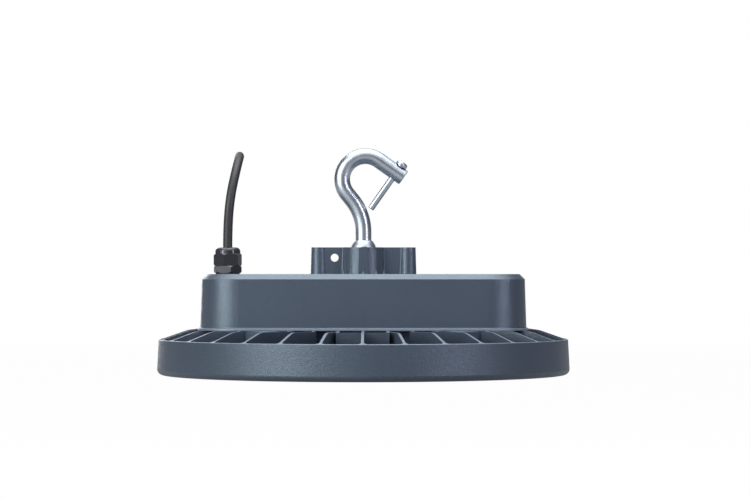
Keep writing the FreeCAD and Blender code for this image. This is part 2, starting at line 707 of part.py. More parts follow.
def make_base_gasket():
    """A flat gasket between the base plate and the ledge inside the box's foot."""
    body = new_body("base_gasket")
    inset = "(foot_wall + base_gap)"
    inner = f"({inset} + gasket_width)"
    pad(body, "strip", [
        rounded(f"box_length / 2 - {inset}", f"box_depth / 2 - {inset}", f"(box_corner - {inset})"),
        rounded(f"box_length / 2 - {inner}", f"box_depth / 2 - {inner}", f"(box_corner - {inner})"),
    ], "gasket_thick", level=BASE_TOP)


def pan_screw(name, radius, run, head_radius, head_height, x, y, seat, head_below):
    """A pan-head screw along Z; its head's flat side lies on the seat."""
    shank_z, head_z = (seat, f"{seat} - ({head_height})") if head_below else (f"{seat} - ({run})", seat)
    shank = disc(f"{name}_shank", radius, run, shank_z, x, y)
    head = disc(f"{name}_head", head_radius, head_height, head_z, x, y)
    screw = group(f"{name}_solid", shank, head)
    doc.recompute()
    rim_level = amount(head_z if head_below else f"{seat} + ({head_height})")
    rim = [i for i, edge in enumerate(screw.Shape.Edges, 1)
           if abs(edge.BoundBox.ZMin - rim_level) < 0.01 and abs(edge.BoundBox.ZMax - rim_level) < 0.01]
    eased = doc.addObject("Part::Chamfer", f"{name}_eased")
    eased.Base = screw
    ease_by = amount(f"0.4 * ({head_height})")
    eased.Edges = [(i, ease_by, ease_by) for i in rim]
    return eased


def make_cover_screws():
    """Four long screws from under the deck through heat sink and base plate into the box."""
    seat = "(deck_floor + long_head_height)"
    run = f"{BASE_TOP} + long_screw_grip - {seat}"
    screws = [
        pan_screw(f"cover_screw_{index}", "long_screw_radius", run, "long_head_radius", "long_head_height",
                  f"{sx} * {POST_X}", f"{sy} * {POST_Y}", seat, True)
        for index, (sx, sy) in enumerate([(-1, -1), (1, -1), (-1, 1), (1, 1)], 1)
    ]
    node("cover_screws", compound("cover_screw_set", screws))


# ---------------------------------------------------------------- hook

class RodLine:
    """A line in the XZ plane that is drawn forwards from a start, run by run and bend by bend."""

    def __init__(self, x, z, heading):
        self.spot, self.heading, self.edges = Vector(x, 0, z), heading, []

    def facing(self, turn=0):
        angle = math.radians(self.heading + turn)
        return Vector(math.cos(angle), 0, math.sin(angle))

    def run(self, length):
        end = self.spot + self.facing() * length
        self.edges.append(Part.LineSegment(self.spot, end).toShape())
        self.spot = end

    def bend(self, radius, turn):
        """Turns left by an angle in degrees, or right by a negative one."""
        side = math.copysign(90, turn)
        centre = self.spot + self.facing(side) * radius
        middle = centre + self.facing(turn / 2 - side) * radius
        end = centre + self.facing(turn - side) * radius
        self.edges.append(Part.Arc(self.spot, middle, end).toShape())
        self.spot, self.heading = end, self.heading + turn


def swept(edges, radius):
    """A round rod or cable along tangent edges."""
    path = Part.Wire(edges)
    start = edges[0].valueAt(edges[0].FirstParameter)
    facing = edges[0].tangentAt(edges[0].FirstParameter)
    ring = Part.Wire(Part.Circle(start, facing, radius).toShape())
    return path.makePipeShell([ring], True, True)


def hook_line():
    """The centre line of the hook, from inside the boss to the cut end of its arm."""
    start = amount(f"{BOSS_TOP} - bore_depth + 1")
    line = RodLine(0, start, 90)
    line.run(amount(f"{BOSS_TOP} + shank_rise") - start)
    line.bend(amount("neck_radius"), amount("neck_turn"))
    line.run(amount("neck_run"))
    line.bend(amount("loop_radius"), -amount("loop_turn"))
    line.run(amount("arm_run"))
    return line


def latch_place():
    """Where the safety screw's head sits on the arm: its place and the way that its head points."""
    line = hook_line()
    middle = line.spot - line.facing() * amount("latch_inset")
    outward = line.facing(90)
    return middle + outward * amount("rod_radius"), outward


def along(shape, place, facing):
    """Moves a shape that was made along +Z to a place and turns it to face another way."""
    shape.Placement = Placement(place, Rotation(Vector(0, 0, 1), facing))
    return shape


def make_hook():
    line = hook_line()
    rod = swept(line.edges, amount("rod_radius"))
    end = [edge for edge in rod.Edges if edge.Length < 7 * amount("rod_radius")
           and (edge.CenterOfMass - line.spot).Length < 0.01]
    rod = rod.makeChamfer(amount("arm_chamfer"), end[:1])
    seat, outward = latch_place()
    drill = Part.makeCylinder(amount("latch_radius + rod_play"), amount("6 * rod_radius"))
    rod = rod.cut(along(drill, seat + outward * amount("3 * rod_radius"), outward * -1))
    shaped("hook", rod)


def make_hook_nut():
    body = new_body("hook_nut")
    bore, straight = "rod_radius + rod_play", "nut_height / 10"
    turned(body, "cone", [
        (bore, BOSS_TOP),
        ("nut_radius", BOSS_TOP),
        ("nut_radius", f"{BOSS_TOP} + {straight}", "1.2 * nut_radius"),
        ("nut_top_radius", f"{BOSS_TOP} + nut_height"),
        (bore, f"{BOSS_TOP} + nut_height"),
    ])


def make_safety_screw():
    seat, outward = latch_place()
    radius, head, rise = (amount(name) for name in ("latch_radius", "latch_head_radius", "latch_head_height"))
    run = amount("rod_radius + latch_reach")
    shank = Part.makeCylinder(radius, run, Vector(0, 0, -run))
    shank = shank.makeChamfer(radius / 5, [edge for edge in shank.Edges
                                           if edge.BoundBox.ZMax < 0.01 - run])
    cap = Part.makeCylinder(head, rise)
    cap = cap.makeFillet(0.6 * rise, [edge for edge in cap.Edges if edge.BoundBox.ZMin > rise - 0.01])
    slot = Part.makeBox(3 * head, head / 4, rise, Vector(-1.5 * head, -head / 8, 0.6 * rise))
    shaped("safety_screw", along(shank.fuse(cap.cut(slot)).removeSplitter(), seat, outward))


# ---------------------------------------------------------------- cable gland

CAP_LOW = f"({BOX_TOP} + gland_body_height)"
CAP_TOP = f"({CAP_LOW} + gland_cap_height + gland_dome_height)"


def make_gland():
    x, play = GLAND_X, "screw_play"
    low = f"{BOX_TOP} + gland_washer_thick"
    thread_low = f"({BOX_TOP} - gland_thread_length)"
    cavity_top = f"({CAP_LOW} + 0.75 * gland_cap_height)"
    node("gland_washer", cut(
        "washer",
        disc("washer_disc", "gland_flats / 2 - 0.4", "gland_washer_thick", BOX_TOP, x),
        disc("washer_hole", f"gland_thread_radius + {play}", "gland_washer_thick", BOX_TOP, x)))
    solid_body = group(
        "gland_body_solid",
        hexagon("gland_body_hexagon", "gland_flats", "gland_body_height - gland_washer_thick", low, x,
                "gland_body_turn"),
        disc("gland_lower_thread", "gland_thread_radius", f"{CAP_LOW} - {thread_low}", thread_low, x),
        disc("gland_upper_thread", "gland_flats / 2 - 1.3", f"{cavity_top} - {CAP_LOW}", CAP_LOW, x))
    node("gland_body", cut(
        "gland_body_cut", solid_body,
        disc("gland_passage", "cable_radius + 2 * screw_play", f"2 * {BOX_TOP}", "0", x),
        disc("gland_seal_seat", "seal_radius", f"{BOX_TOP}", CAP_LOW, x)))
    node("gland_seal", cut(
        "seal",
        disc("seal_disc", "seal_radius", f"{cavity_top} - {CAP_LOW}", CAP_LOW, x),
        disc("seal_hole", "cable_radius", f"{cavity_top} - {CAP_LOW}", CAP_LOW, x)))
    dome = disc("gland_dome", "gland_dome_radius", "gland_cap_height / 2 + gland_dome_height",
                f"{CAP_LOW} + gland_cap_height / 2", x)
    doc.recompute()
    rounded_dome = doc.addObject("Part::Fillet", "gland_dome_rounded")
    rounded_dome.Base = dome
    round_by = amount("gland_dome_round")
    rounded_dome.Edges = [(i, round_by, round_by) for i, edge in enumerate(dome.Shape.Edges, 1)
                          if at_level(edge, CAP_TOP)]
    cap = group("gland_cap_solid",
                hexagon("gland_cap_hexagon", "gland_flats", "gland_cap_height", CAP_LOW, x, "gland_cap_turn"),
                rounded_dome)
    node("gland_cap", cut(
        "gland_cap_cut", cap,
        disc("gland_cap_thread", "gland_flats / 2 - 1.3 + thread_play", f"{cavity_top} - {CAP_LOW}", CAP_LOW, x),
        disc("gland_cap_exit", "cable_radius + thread_play", f"{BOX_TOP}", CAP_LOW, x)))
    ceiling_nut = f"{BOX_CEILING} - gland_nut_height"
    node("gland_locknut", cut(
        "locknut",
        hexagon("locknut_hexagon", "gland_nut_flats", "gland_nut_height", ceiling_nut, x),
        disc("locknut_thread", "gland_thread_radius + thread_play", "gland_nut_height", ceiling_nut, x)))


# ---------------------------------------------------------------- supply cable

# The cable stands up out of its gland, arches over backwards and lies on the ground behind the
# light.  The points are the corners of its route; the first is the gland's mouth.
CABLE_ROUTE = [
    (-102.3, 0.0, 95.4),
    (-102.3, 0.0, 113.0),
    (-100.2, 0.5, 135.0),
    (-96.5, 11.5, 154.8),
    (-94.8, 30.5, 166.0),
    (-96.4, 54.0, 166.0),
    (-100.6, 74.0, 154.5),
    (-106.8, 90.0, 127.5),
    (-108.8, 103.5, 97.0),
    (-108.0, 115.5, 65.0),
    (-106.0, 128.5, 37.0),
    (-101.0, 148.0, 14.0),
    (-91.0, 176.0, 3.5),
    (-73.0, 203.0, 3.5),
    (-47.0, 220.0, 3.5),
    (-18.0, 228.0, 3.5),
    (12.0, 230.0, 3.5),
    (40.0, 226.0, 3.5),
]
ARC_SHARE = 0.45    # of the shorter run beside a corner, taken up by its arc


def cable_edges():
    """Straight runs joined by tangent arcs; prints the arcs' radii and the route's length."""
    mouth = Vector(amount(GLAND_X), 0, amount(CAP_TOP))
    corners = [mouth] + [Vector(*point) for point in CABLE_ROUTE[1:]]
    edges, radii, reached = [], [], corners[0]
    for before, corner, after in zip(corners, corners[1:], corners[2:]):
        back, forth = before - corner, after - corner
        turn = math.pi - back.getAngle(forth)
        reach = ARC_SHARE * min(back.Length, forth.Length)
        first = corner + back.normalize() * reach
        last = corner + forth.normalize() * reach
        radius = reach / math.tan(turn / 2)
        inward = (first + last) / 2 - corner
        middle = corner + inward.normalize() * (radius / math.cos(turn / 2) - radius)
        edges.append(Part.LineSegment(reached, first).toShape())
        edges.append(Part.Arc(first, middle, last).toShape())
        radii.append(round(radius, 1))
        reached = last
    edges.append(Part.LineSegment(reached, corners[-1]).toShape())
    print("cable bend radii, mm:", radii)
    print("cable length, mm:", round(sum(edge.Length for edge in edges), 1))
    return edges


def skewed(start, end, radius, facing):
    """A round core between two parallel circles that both face one way."""
    rings = [Part.Wire(Part.Circle(spot, facing, radius).toShape()) for spot in (start, end)]
    return Part.makeLoft(rings, True)


def between(start, end, radius):
    """A round bar from one point to another."""
    return Part.makeCylinder(radius, (end - start).Length, start, end - start)


def make_supply_cable():
    edges = cable_edges()
    tube = swept(edges, amount("cable_radius"))
    plain = math.pi * amount("cable_radius") ** 2 * sum(edge.Length for edge in edges)
    print("cable volume over section times length:", round(tube.Volume / plain, 4))
    shaped("supply_cable", tube)
    ends = edges[-1]
    stop, facing = ends.valueAt(ends.LastParameter), ends.tangentAt(ends.LastParameter)
    aside = facing.cross(Vector(0, 0, 1))
    radius, ferrule = amount("core_radius"), amount("ferrule_radius")
    low = Vector(0, 0, radius - stop.z)
    cores, sleeves = [], []
    for side in (-1, 0, 1):
        start = stop + aside * (side * 1.8 * radius) + (low if side == 0 else low * 0)
        end = stop + facing * amount("core_run") + aside * (side * amount("core_splay")) + low
        cores.append(skewed(start, end, radius, facing))
        sleeves.append(between(end, end + facing * amount("ferrule_run"), ferrule))
    shaped("supply_cores", Part.makeCompound(cores))
    shaped("core_ferrules", Part.makeCompound(sleeves))


def make_cable_tail():
    """The cable's end inside the gland and the box, and its cores down to the terminal block."""
    low = f"{BOX_CEILING} - tail_run"
    node("cable_tail", disc("tail", "cable_radius", f"{CAP_TOP} - ({low})", low, GLAND_X))
    x, block_x, top, bottom = amount(GLAND_X), amount(BLOCK_X), amount(low), amount(f"{BASE_TOP} + block_height")
    radius, pitch = amount("core_radius"), amount("core_pitch")
    cores = [skewed(Vector(x, side * 1.9 * radius, top), Vector(block_x, side * pitch, bottom), radius,
                    Vector(0, 0, 1))
             for side in (-1, 0, 1)]
    shaped("mains_cores", Part.makeCompound(cores))


# ---------------------------------------------------------------- driver and wiring

def softened(name, base, size, choose):
    """A Part fillet on the edges that choose() picks."""
    doc.recompute()
    fillet = doc.addObject("Part::Fillet", name)
    fillet.Base = base
    round_by = amount(size)
    fillet.Edges = [(i, round_by, round_by) for i, edge in enumerate(base.Shape.Edges, 1) if choose(edge)]
    return fillet


def make_driver():
    case = block("driver_case", "driver_length", "driver_width", "driver_height", BASE_TOP, "driver_shift")
    case = softened("driver_case_rounded", case, "driver_round", lambda edge: not at_level(edge, BASE_TOP))
    ear = "(driver_length / 2 + ear_run / 2)"
    parts, holes = [case], []
    for side in (-1, 1):
        x = f"driver_shift + {side} * {ear}"
        parts.append(block(f"driver_ear_{side + 2}", "ear_run + driver_round", "ear_width", "ear_thick",
                           BASE_TOP, f"driver_shift + {side} * ({ear} - driver_round / 2)"))
        holes.append(disc(f"driver_ear_hole_{side + 2}", "small_screw_radius + screw_play", "ear_thick",
                          BASE_TOP, x))
    node("led_driver", cut("driver_cut", group("driver_solid", *parts), *holes))
    seat = f"{BASE_TOP} + ear_thick"
    screws = [pan_screw(f"driver_screw_{side + 2}", "small_screw_radius", "ear_thick + base_thick",
                        "small_head_radius", "small_head_height", f"driver_shift + {side} * {ear}", "0",
                        seat, False)
              for side in (-1, 1)]
    node("driver_screws", compound("driver_screw_set", screws))
    node("terminal_block", softened(
        "block_rounded",
        block("block_blank", "block_length", "block_width", "block_height", BASE_TOP, BLOCK_X),
        "driver_round / 4", lambda edge: not at_level(edge, BASE_TOP)))


def make_leads():
    """Three leads from block to driver, and two from the driver down the duct to the LED board."""
    level = amount(f"{BASE_TOP} + lead_rise")
    radius, pitch = amount("lead_radius"), amount("core_pitch")
    block_side = amount(f"{BLOCK_X} + block_length / 2")
    driver_left = amount("driver_shift - driver_length / 2")
    mains = [between(Vector(block_side, side * pitch, level),
                     Vector(driver_left, side * pitch, level), radius)
             for side in (-1, 0, 1)]
    shaped("driver_leads", Part.makeCompound(mains))
    driver_back, bend = amount("driver_width / 2"), amount("lead_bend")
    leads = []
    for side in (-1, 1):
        line = RodLine(driver_back, level, 0)
        line.run(amount(DUCT_Y) - bend - driver_back)
        line.bend(bend, -90)
        line.run(level - bend - amount(BOARD_TOP))
        lead = swept(line.edges, radius)
        lead.rotate(Vector(), Vector(0, 0, 1), 90)
        lead.translate(Vector(amount("duct_x") + side * 1.7 * radius, 0, 0))
        leads.append(lead)
    shaped("led_leads", Part.makeCompound(leads))
    body = new_body("lead_grommet")
    bore = "(duct_radius - grommet_lip)"
    foot = f"{BASE_TOP} - base_thick"
    turned(body, "grommet", [
        (bore, foot),
        ("duct_radius", foot),
        ("duct_radius", BASE_TOP),
        ("duct_radius + grommet_lip", BASE_TOP),
        ("duct_radius + grommet_lip", f"{BASE_TOP} + grommet_lip"),
        (bore, f"{BASE_TOP} + grommet_lip"),
    ])
    body.setExpression(".Placement.Base.x", tied("duct_x"))
    body.setExpression(".Placement.Base.y", tied(DUCT_Y))


# ---------------------------------------------------------------- light engine

def led_spots():
    """The LEDs' places as pairs of expressions, circle by circle."""
    spots = []
    for ring, count in enumerate(LED_RINGS):
        radius = f"(led_circle + {ring} * {LED_PITCH})"
        for index in range(count):
            angle = f"({(index + 0.5) * 360 / count:g})"
            spots.append((f"{radius} * cos{angle}", f"{radius} * sin{angle}"))
    return spots


def make_light_engine():
    screws = int(amount("board_screw_count"))
    clear = "small_screw_radius + screw_play"
    for name, thickness, level in (("thermal_pad", "pad_thick", BOARD_TOP), ("led_board", "board_thick", BOARD_LOW)):
        body = new_body(name)
        pad(body, f"{name}_disc", [circle("0", "0", BOARD_RADIUS)], thickness, level=level)
        pocket(body, f"{name}_screw_holes",
               ring_of(screws, BOARD_SCREWS, clear, turn="board_screw_turn"))
        if name == "thermal_pad":
            pocket(body, "lead_slot", [circle("duct_x", DUCT_Y, "duct_radius")])
    chips = [block(f"led_{index}", "led_side", "led_side", "led_height", f"{BOARD_LOW} - led_height", x, y)
             for index, (x, y) in enumerate(led_spots(), 1)]
    node("leds", compound("led_set", chips))
    turns = [f"(board_screw_turn + {index} * 360 / {screws})" for index in range(screws)]
    board_screws = [
        pan_screw(f"board_screw_{index}", "small_screw_radius", "board_thick + pad_thick + board_screw_run",
                  "small_head_radius", "small_head_height",
                  f"{BOARD_SCREWS} * cos({turn})", f"{BOARD_SCREWS} * sin({turn})", BOARD_LOW, True)
        for index, turn in enumerate(turns, 1)
    ]
    node("board_screws", compound("board_screw_set", board_screws))


def make_lens():
    body = new_body("lens_plate")
    count = int(amount("lens_screw_count"))
    pad(body, "lens_disc", [circle("0", "0", f"{RECESS} - lens_play")], "lens_thick", level=LENS_LOW)
    domes = pad(body, "lenses", [circle(x, y, "lens_radius") for x, y in led_spots()], "lens_drop",
                level=LENS_LOW, draft="50")
    domes.Reversed = True
    doc.recompute()
    pocket(body, "lens_screw_clearance", ring_of(count, LENS_SCREWS, "small_screw_radius + screw_play"))
    seal = new_body("lens_gasket")
    inner = f"({CAVITY} + lens_play)"
    pad(seal, "lens_seal", [circle("0", "0", inner), circle("0", "0", f"{inner} + lens_seal_width")],
        "lens_seal_thick", level=LENS_TOP)
    turns = [f"({index} * 360 / {count})" for index in range(count)]
    screws = [
        pan_screw(f"lens_screw_{index}", "small_screw_radius", "lens_thick + lens_seal_thick + lens_screw_run",
                  "small_head_radius", "small_head_height",
                  f"{LENS_SCREWS} * cos({turn})", f"{LENS_SCREWS} * sin({turn})", LENS_LOW, True)
        for index, turn in enumerate(turns, 1)
    ]
    node("lens_screws", compound("lens_screw_set", screws))


# ---------------------------------------------------------------- build and write

def check_and_write():
    """Stops at any failed object or bad shape, then writes one STEP file a node."""
    doc.recompute()
    for thing in doc.Objects:
        if "Invalid" in thing.State or "Error" in thing.State:
            raise RuntimeError(f"{thing.Name} ({thing.Label}) failed: {thing.State}")
    os.makedirs("parts", exist_ok=True)
    total = 0.0
    for thing in NODES:
        shape = thing.Shape
        if shape.isNull() or not shape.isValid() or not shape.Solids:
            raise RuntimeError(f"{thing.Label} has no valid solid")
        total += shape.Volume
        shape.exportStep(f"parts/{thing.Label}.step")
        print(f"{thing.Label}: {len(shape.Solids)} solids, {len(shape.Faces)} faces,",
              f"{shape.Volume / 1000:.1f} cm3")
    print(len(NODES), "nodes,", round(total / 1000, 1), "cm3 in all")


make_heat_sink()
make_driver_box()
make_base_plate()
make_base_gasket()
make_cover_screws()
make_hook()
make_hook_nut()
make_safety_screw()
make_gland()
make_supply_cable()
make_cable_tail()
make_driver()
make_leads()
make_light_engine()
make_lens()
check_and_write()
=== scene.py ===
# %% [markdown]
# # A high bay light
#
# This file dresses a round LED high bay light. The solids of the real pieces (the cast heat
# sink, the driver box, the hook, the cable gland and what is inside) come in as a fixed frame.
# Their shapes are right as they are, so they stay. What is left to do is the soft supply cable
# and what the eye reads as material: textured powder coat, bright zinc, black nylon, rubber and
# clear plastic, and the light that shows them.

# %% Load the frame
import json
import math

import bmesh
import bpy
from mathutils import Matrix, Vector


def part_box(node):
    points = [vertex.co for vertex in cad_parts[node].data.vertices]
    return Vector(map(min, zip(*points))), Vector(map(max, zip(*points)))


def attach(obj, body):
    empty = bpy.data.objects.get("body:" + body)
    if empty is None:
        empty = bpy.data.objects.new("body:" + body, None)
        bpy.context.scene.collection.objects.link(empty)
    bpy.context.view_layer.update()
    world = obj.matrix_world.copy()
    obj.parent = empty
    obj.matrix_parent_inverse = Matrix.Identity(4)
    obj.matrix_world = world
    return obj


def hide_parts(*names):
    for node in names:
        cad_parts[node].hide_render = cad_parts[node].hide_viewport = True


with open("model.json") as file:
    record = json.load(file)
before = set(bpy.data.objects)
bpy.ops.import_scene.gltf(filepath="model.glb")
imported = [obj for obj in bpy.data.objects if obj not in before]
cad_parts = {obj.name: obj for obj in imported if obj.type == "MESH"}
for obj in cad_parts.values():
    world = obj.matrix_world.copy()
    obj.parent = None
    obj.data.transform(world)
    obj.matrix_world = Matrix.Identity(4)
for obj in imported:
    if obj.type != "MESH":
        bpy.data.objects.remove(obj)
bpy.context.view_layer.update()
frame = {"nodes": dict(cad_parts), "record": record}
nodes = frame["nodes"]
MM = 0.001
print("pieces from the frame:", len(nodes))

# %% [markdown]
# ## Camera
#
# The light hangs at eye level, so the camera looks straight along +Y from nearly two metres
# away, at the height of the driver box's top. A long lens keeps the ring almost flat, and a
# small upward shift puts the hook and the cable in the frame without tilting the camera, which
# would make upright edges lean.

# %% Camera
VIEW_ASIDE, VIEW_DISTANCE, VIEW_HEIGHT = 8.7 * MM, 1938 * MM, 75.4 * MM

lens_data = bpy.data.cameras.new("view")
lens_data.lens = 123.4
lens_data.sensor_width = 36.0
lens_data.shift_y = 0.0319
lens_data.clip_end = 50.0
view = bpy.data.objects.new("view", lens_data)
view.location = (VIEW_ASIDE, -VIEW_DISTANCE, VIEW_HEIGHT)
view.rotation_euler = (math.radians(90), 0, 0)
bpy.context.scene.collection.objects.link(view)
bpy.context.scene.camera = view
print("camera distance, m:", VIEW_DISTANCE)

# %% [markdown]
# ## A small language for materials
#
# A material is a graph of nodes. Written link by link it takes pages, so two small classes help.
# `Flow` stands for one socket and lets Python's own operators add the Math nodes, so that
# `1 - mask * 0.2` can be written as it is thought. `Finish` holds one material and adds any
# other node by its type, its settings and what its sockets take. The helpers under it are the
# few moves that every finish here is made of: a noise, a mix of two colours, a soft step and a
# bump. Colours are written as a screen shows them, and `linear` turns them into light.


# %% Flow and Finish
class Flow:
    """One output of a material's graph, which reckons like a number."""

    def __init__(self, finish, socket):
        self.finish, self.socket = finish, socket

    def math(self, operation, first, second):
        return self.finish.add("ShaderNodeMath", {"operation": operation}, {0: first, 1: second})

    def __add__(self, other):
        return self.math("ADD", self, other)

    def __radd__(self, other):
        return self.math("ADD", other, self)

    def __sub__(self, other):
        return self.math("SUBTRACT", self, other)

    def __rsub__(self, other):
        return self.math("SUBTRACT", other, self)

    def __mul__(self, other):
        return self.math("MULTIPLY", self, other)

    def __rmul__(self, other):
        return self.math("MULTIPLY", other, self)


class Finish:
    """One material: a Principled shader and what feeds it."""

    def __init__(self, name, **constants):
        self.material = bpy.data.materials.new(name)
        self.material.use_nodes = True
        self.tree = self.material.node_tree
        self.shader = self.tree.nodes["Principled BSDF"]
        for socket, value in constants.items():
            self.shader.inputs[socket.replace("_", " ")].default_value = value

    def add(self, kind, settings=None, sockets=None, output=0):
        """Any node: its settings first, then the values or links of its sockets."""
        node = self.tree.nodes.new(kind)
        for name, value in (settings or {}).items():
            setattr(node, name, value)
        for name, value in (sockets or {}).items():
            self.feed(node.inputs[name], value)
        return Flow(self, node.outputs[output])

    def feed(self, socket, value):
        """A link where the value is a flow, a plain setting where it is a number."""
        if isinstance(value, Flow):
            self.tree.links.new(value.socket, socket)
        else:
            socket.default_value = value

    def set(self, **flows):
        """Feed the shader's sockets, each by its own name."""
        for name, value in flows.items():
            self.feed(self.shader.inputs[name.replace("_", " ")], value)

    def axis(self, index, kind="ShaderNodeTexCoord", output="Object"):
        """One of the three parts of a place or of a direction."""
        return self.add("ShaderNodeSeparateXYZ", {}, {0: self.add(kind, output=output)}, index)

    def place(self, scale=(1, 1, 1)):
        """The object's own coordinates, stretched if need be."""
        spot = self.add("ShaderNodeTexCoord", output="Object")
        if tuple(scale) == (1, 1, 1):
            return spot
        return self.add("ShaderNodeMapping", {"vector_type": "POINT"},
                        {"Vector": spot, "Scale": scale})

    def noise(self, per_metre, detail=2.0, stretch=(1, 1, 1), roughness=0.5):
        """Clouds of 0 to 1, with so many features to the metre."""
        return self.add("ShaderNodeTexNoise", {},
                        {"Vector": self.place(stretch), "Scale": per_metre,
                         "Detail": detail, "Roughness": roughness})

    def between(self, low, high, amount):
        """A colour between two colours: sockets 6 and 7 and output 2 are a Mix node's colours."""
        return self.add("ShaderNodeMix", {"data_type": "RGBA"}, {0: amount, 6: low, 7: high}, 2)

    def band(self, value, low, high):
        """0 below low, 1 above high and a smooth step between."""
        return self.add("ShaderNodeMapRange", {"interpolation_type": "SMOOTHSTEP"},
                        {"Value": value, "From Min": low, "From Max": high})

    def bump(self, height, distance, strength):
        """A relief that is distance deep where height goes from 0 to 1."""
        return self.add("ShaderNodeBump", {},
                        {"Height": height, "Distance": distance, "Strength": strength})


def linear(red, green, blue):
    """A colour written as a screen shows it, from 0 to 255, as the shader reckons it."""
    parts = [part / 255 for part in (red, green, blue)]
    light = [part / 12.92 if part <= 0.04045 else ((part + 0.055) / 1.055) ** 2.4 for part in parts]
    return (*light, 1.0)


AWAY, UP = 1, 2                                         # the second and third axes of a place
print("a middle grey:", [round(part, 3) for part in linear(128, 128, 128)])

# %% [markdown]
# ## Powder coat
#
# The castings wear a fine textured powder coat in dark blue grey. Powder melts into a skin with
# a grain of less than a millimetre, so the surface is matt but sparkles softly where light
# grazes it. One noise gives that grain to the bump, a middle one the orange peel of the melted
# skin, a wide one the slow waviness of the casting, and they stir colour and roughness a little.
# The tint of the gloss is the same all over, so it is set on the shader's own socket.


# %% Powder coat
GRAIN, ORANGE_PEEL, CASTING = 1500, 420, 22             # how many features to the metre
PAINT_RELIEF = 0.26 * MM
BLUE_GLOSS = (0.71, 0.88, 1.0, 1)
# the paler colour painted on as a highlight where overhead light catches the fin tops and the bead
PAINTED_HIGHLIGHT = linear(126, 139, 154)


def powder_coat(name, roughness, low, high, highlight_mask):
    """The last argument takes the finish and gives 0 to 1 where a paler colour is painted on as a
    highlight.
    """
    paint = Finish(name, Metallic=0.0, IOR=1.66, Specular_Tint=BLUE_GLOSS)
    grain = paint.noise(GRAIN, 3.0, roughness=0.6)
    orange_peel = paint.noise(ORANGE_PEEL, 2.0)
    casting = paint.noise(CASTING, 3.0)
    full = paint.between(low, high, grain * 0.6 + casting * 0.4)
    paint.set(
        # painted highlight: the paler colour goes where the mask says an edge catches the light from
        # above
        Base_Color=paint.between(full, PAINTED_HIGHLIGHT, highlight_mask(paint) * (0.35 + grain * 0.4)),
        Roughness=roughness + grain * 0.10,
        Normal=paint.bump(grain * 0.9 + orange_peel * 0.5 + casting * 0.8, PAINT_RELIEF, 0.8))
    print(name, "with a grain of", round(1 / (GRAIN * MM), 2), "mm")
    return paint.material


# %% [markdown]
# ## Painted highlights
#
# The narrow tops of the fins and the bead at the driver box's foot catch the overhead light,
# and a paler colour is painted on them as a highlight for it. Painting that by hand would
# need a map. Here a mask does it: the fins' tops are what faces up above the ring's lip, and the
# bead is what lies within its own height above the foot, which the frame gives.


# %% Painted highlights
LIP_LOW, LIP_HIGH = 24 * MM, 26.5 * MM                  # the ring's lip, over which the mask grows
SLANTED, LEVEL = 0.35, 0.8                              # how much a face has to point up
BOX_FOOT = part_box("driver_box")[0][2]
BEAD_LOW, BEAD_HIGH = 1.5 * MM, 1.9 * MM                # the bead's top edge, above the foot


# painted highlight on the fin tops: faces that point up above the ring's lip, where the overhead
# lamps catch them
def fin_top_highlight(paint):
    facing = paint.axis(UP, "ShaderNodeNewGeometry", "Normal")
    return paint.band(paint.axis(UP), LIP_LOW, LIP_HIGH) * paint.band(facing, SLANTED, LEVEL)


# painted highlight on the bead at the driver box's foot, which catches the light from above
def bead_highlight(paint):
    return 1 - paint.band(paint.axis(UP), BOX_FOOT + BEAD_LOW, BOX_FOOT + BEAD_HIGH)


print("foot of the driver box, m:", round(BOX_FOOT, 4))

# %% [markdown]
# ## Bright zinc
#
# The hook is bent from steel rod and plated with zinc. The plating is bright but a little cloudy,
# and faint drawing marks run along the rod under it, so it shows the lamps as soft bands and not
# as a sharp picture. A metal has no colour but that of its reflection, so the blue of the zinc
# is its base colour. The marks are a noise that is stretched along the height, which is close
# to the rod's own direction.


# %% Zinc
PLATE_CLOUD, DRAWING_MARKS = 70, 900                    # features to the metre
ALONG_THE_ROD = (1, 1, 0.12)
CLOUD_MATTS, MARKS_MATT = 0.10, 0.04                    # what each adds to the roughness
ZINC_DARK, ZINC_LIGHT = linear(164, 174, 184), linear(206, 214, 222)
PLATE_RELIEF = 0.08 * MM


def zinc(name, roughness=0.25):
    plate = Finish(name, Metallic=1.0)
    cloud = plate.noise(PLATE_CLOUD, 3.0)
    marks = plate.noise(DRAWING_MARKS, 2.0, ALONG_THE_ROD)
    plate.set(
        Base_Color=plate.between(ZINC_DARK, ZINC_LIGHT, cloud * 0.5 + marks * 0.5),
        Roughness=roughness + cloud * CLOUD_MATTS + marks * MARKS_MATT,
        Normal=plate.bump(marks * 0.15 + cloud * 1.2, PLATE_RELIEF, 0.35))
    print(name, "roughness:", roughness, "to", round(roughness + CLOUD_MATTS + MARKS_MATT, 2))
    return plate.material


# %% [markdown]
# ## Plastics and rubbers
#
# Nylon fittings come from a polished mould and are black with a clear gloss. The cable's sheath
# is a soft rubber with almost no gloss. Both get a small noise in roughness, since nothing
# moulded is perfectly even. One function makes them all, because they differ only in colour,
# gloss and the depth of their grain.


# %% Plastics and rubbers
SKIN_CLOUD, SKIN_GRAIN = 60, 600                        # features to the metre
GLOSS_SPREAD = 0.08


def moulded(name, low, high, roughness, relief=0.02 * MM):
    skin = Finish(name)
    cloud = skin.noise(SKIN_CLOUD, 2.0)
    fine = skin.noise(SKIN_GRAIN, 2.0)
    skin.set(
        Base_Color=skin.between(low, high, cloud * 0.5 + fine * 0.5),
        Roughness=roughness - GLOSS_SPREAD / 2 + fine * GLOSS_SPREAD,
        Normal=skin.bump(fine, relief, 0.6))
    return skin.material


nylon = moulded("black_nylon", linear(40, 41, 46), linear(52, 53, 58), 0.15)
rubber = moulded("seal_rubber", linear(24, 24, 26), linear(36, 36, 38), 0.62)
sheath = moulded("cable_rubber", linear(30, 31, 34), linear(42, 43, 47), 0.5, 0.04 * MM)
print("black finishes:", nylon.name, rubber.name, sheath.name)

